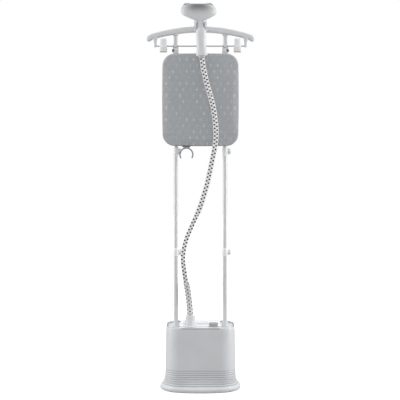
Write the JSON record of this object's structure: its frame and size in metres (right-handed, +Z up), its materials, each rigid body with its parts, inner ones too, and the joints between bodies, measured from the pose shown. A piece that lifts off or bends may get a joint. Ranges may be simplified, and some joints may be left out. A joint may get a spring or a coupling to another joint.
{
  "type": "garment steamer",
  "caption": "Upright garment steamer with telescoping poles, padded pressing board, hanger with clips, handset on a steam hose, and a base with a lift-out tank.",
  "frame": {"origin": "on the floor, under the centre of the base's foot and of the hanger's width", "axes": "+Z up; -Y towards the front, where the knob, the board and the handset are; +X to the right seen from the front"},
  "size_m": [0.4536, 0.2912, 1.6203],
  "materials": {
    "housing_plastic": "satin light grey",
    "white_gloss": "glossy white",
    "lock_white": "satin white",
    "light_plastic": "satin pale grey",
    "clip_plastic": "satin near white",
    "grey_plastic": "satin mid grey",
    "dark_plastic": "matte dark grey",
    "pole_aluminium": "satin anodised",
    "cast_aluminium": "rough cast",
    "rail_steel": "satin",
    "plate_steel": "satin",
    "clear_plastic": "clear",
    "black_rubber": "matte",
    "board_fabric": "woven, with small drop motifs",
    "hose_cover": "woven, white with dark dots"
  },
  "bodies": {
    "base": {"base_shell": "housing_plastic", "rim_trim": "dark_plastic", "base_plate": "dark_plastic", "foot_pad_front_left": "black_rubber", "foot_pad_front_right": "black_rubber", "foot_pad_rear_left": "black_rubber", "foot_pad_rear_right": "black_rubber", "top_deck": "white_gloss", "pole_collar_left": "light_plastic", "pole_collar_right": "light_plastic", "tank_well": "grey_plastic", "tank_valve_seat": "dark_plastic", "boiler": "cast_aluminium", "thermostat": "dark_plastic", "steam_tube": "black_rubber", "feed_tube": "black_rubber", "control_switch": "dark_plastic", "hose_connector": "light_plastic", "cord_gland": "black_rubber", "lower_tube_left": "pole_aluminium", "lower_tube_right": "pole_aluminium", "lower_lock_left": "lock_white", "lower_lock_right": "lock_white", "hose_sleeve": "hose_cover", "hose_lower": "hose_cover"},
    "middle": {"middle_tube_left": "pole_aluminium", "middle_tube_right": "pole_aluminium", "upper_lock_left": "lock_white", "upper_lock_right": "lock_white", "hose_middle": "hose_cover"},
    "upper": {"upper_tube_left": "pole_aluminium", "upper_tube_right": "pole_aluminium", "hanger_bar": "light_plastic", "clip_rail": "rail_steel", "handset_cradle": "white_gloss", "board_panel": "dark_plastic", "board_pad": "board_fabric", "board_bracket_left": "dark_plastic", "board_bracket_right": "dark_plastic", "accessory_clip": "grey_plastic"},
    "lower_lever_left": {"lower_lever_left": "light_plastic"},
    "lower_lever_right": {"lower_lever_right": "light_plastic"},
    "upper_lever_left": {"upper_lever_left": "light_plastic"},
    "upper_lever_right": {"upper_lever_right": "light_plastic"},
    "handset": {"handset_front": "light_plastic", "handset_rear": "light_plastic", "steam_plate": "plate_steel", "steam_pipe": "black_rubber", "hose_cuff": "light_plastic", "hose_top": "hose_cover"},
    "clip_left": {"clip_back_left": "clip_plastic"},
    "clip_left_jaw": {"clip_front_left": "clip_plastic"},
    "clip_right": {"clip_back_right": "clip_plastic"},
    "clip_right_jaw": {"clip_front_right": "clip_plastic"},
    "knob": {"steam_knob": "grey_plastic"},
    "tank": {"tank_shell": "clear_plastic", "tank_lid": "white_gloss"},
    "tank_cap": {"tank_cap": "dark_plastic"}
  },
  "joints": [
    {"name": "lower_telescope", "type": "slide", "parent": "base", "child": "middle", "axis": [0, 0, 1], "range_m": [-0.28, 0], "deforming": ["hose_sleeve", "hose_lower"]},
    {"name": "upper_telescope", "type": "slide", "parent": "middle", "child": "upper", "axis": [0, 0, 1], "range_m": [-0.28, 0], "deforming": ["hose_middle"]},
    {"name": "lower_lever_left_turn", "type": "hinge", "parent": "base", "child": "lower_lever_left", "pos_m": [-0.0857, -0.04, 0.57175], "axis": [0, 1, 0], "range_deg": [0, 90]},
    {"name": "lower_lever_right_turn", "type": "hinge", "parent": "base", "child": "lower_lever_right", "pos_m": [0.1213, -0.04, 0.57175], "axis": [0, 1, 0], "range_deg": [0, 90]},
    {"name": "upper_lever_left_turn", "type": "hinge", "parent": "middle", "child": "upper_lever_left", "pos_m": [-0.0872, -0.04, 0.9955], "axis": [0, 1, 0], "range_deg": [0, 90]},
    {"name": "upper_lever_right_turn", "type": "hinge", "parent": "middle", "child": "upper_lever_right", "pos_m": [0.1198, -0.04, 0.9955], "axis": [0, 1, 0], "range_deg": [0, 90]},
    {"name": "handset_lift", "type": "slide", "parent": "upper", "child": "handset", "axis": [0, -0.866, 0.5], "range_m": [0, 0.1], "deforming": ["hose_top"]},
    {"name": "clip_left_slide", "type": "slide", "parent": "upper", "child": "clip_left", "axis": [1, 0, 0], "range_m": [-0.008, 0.018]},
    {"name": "clip_left_open", "type": "hinge", "parent": "clip_left", "child": "clip_left_jaw", "pos_m": [-0.1546, -0.0514, 1.444], "axis": [-1, 0, 0], "range_deg": [0, 22], "stiffness_Nm_per_rad": 0.05, "springref_deg": -17.19},
    {"name": "clip_right_slide", "type": "slide", "parent": "upper", "child": "clip_right", "axis": [1, 0, 0], "range_m": [-0.018, 0.008]},
    {"name": "clip_right_open", "type": "hinge", "parent": "clip_right", "child": "clip_right_jaw", "pos_m": [0.1546, -0.0514, 1.444], "axis": [-1, 0, 0], "range_deg": [0, 22], "stiffness_Nm_per_rad": 0.05, "springref_deg": -17.19},
    {"name": "knob_turn", "type": "hinge", "parent": "base", "child": "knob", "pos_m": [0.055, -0.04, 0.27], "axis": [0, 0, -1], "range_deg": [0, 240]},
    {"name": "tank_lift", "type": "slide", "parent": "base", "child": "tank", "axis": [0, 0, 1], "range_m": [0, 0.2]},
    {"name": "tank_cap_turn", "type": "hinge", "parent": "tank", "child": "tank_cap", "pos_m": [0, 0.073, 0.079], "axis": [0, 0, -1], "range_deg": [0, 90]}
  ]
}
